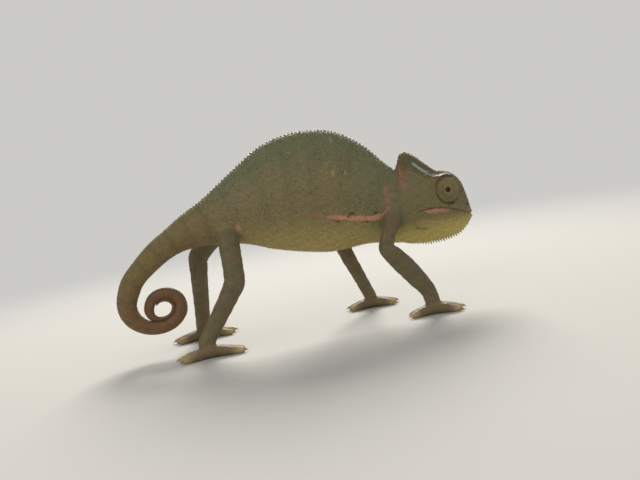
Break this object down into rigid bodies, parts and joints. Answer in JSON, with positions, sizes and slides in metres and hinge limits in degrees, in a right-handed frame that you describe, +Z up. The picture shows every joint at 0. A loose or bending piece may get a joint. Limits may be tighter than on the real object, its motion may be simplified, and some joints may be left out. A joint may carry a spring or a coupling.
{
  "type": "veiled chameleon",
  "caption": "Young veiled chameleon standing on four feet with its back arched and its tail coiled; a still, life-size model.",
  "frame": {"origin": "middle of the bounding box's underside, on the floor between the feet", "axes": "+X the way the animal faces, +Y to its left, +Z up"},
  "size_m": [0.0585, 0.0196, 0.0316],
  "materials": {
    "head_skin": "matte",
    "body_skin": "matte",
    "tail_skin": "matte",
    "leg_skin": "matte",
    "eye_skin": "matte"
  },
  "bodies": {
    "root": {"head": "head_skin", "lower_jaw": "head_skin", "eye_right": "eye_skin", "eye_left": "eye_skin", "neck": "body_skin", "torso": "body_skin", "tail_base": "tail_skin", "tail_bend": "tail_skin", "tail_coil": "tail_skin", "tail_tip": "tail_skin", "thigh_right": "leg_skin", "shank_right": "leg_skin", "foot_right": "leg_skin", "upper_arm_right": "leg_skin", "forearm_right": "leg_skin", "hand_right": "leg_skin", "thigh_left": "leg_skin", "shank_left": "leg_skin", "foot_left": "leg_skin", "upper_arm_left": "leg_skin", "forearm_left": "leg_skin", "hand_left": "leg_skin"}
  },
  "joints": []
}
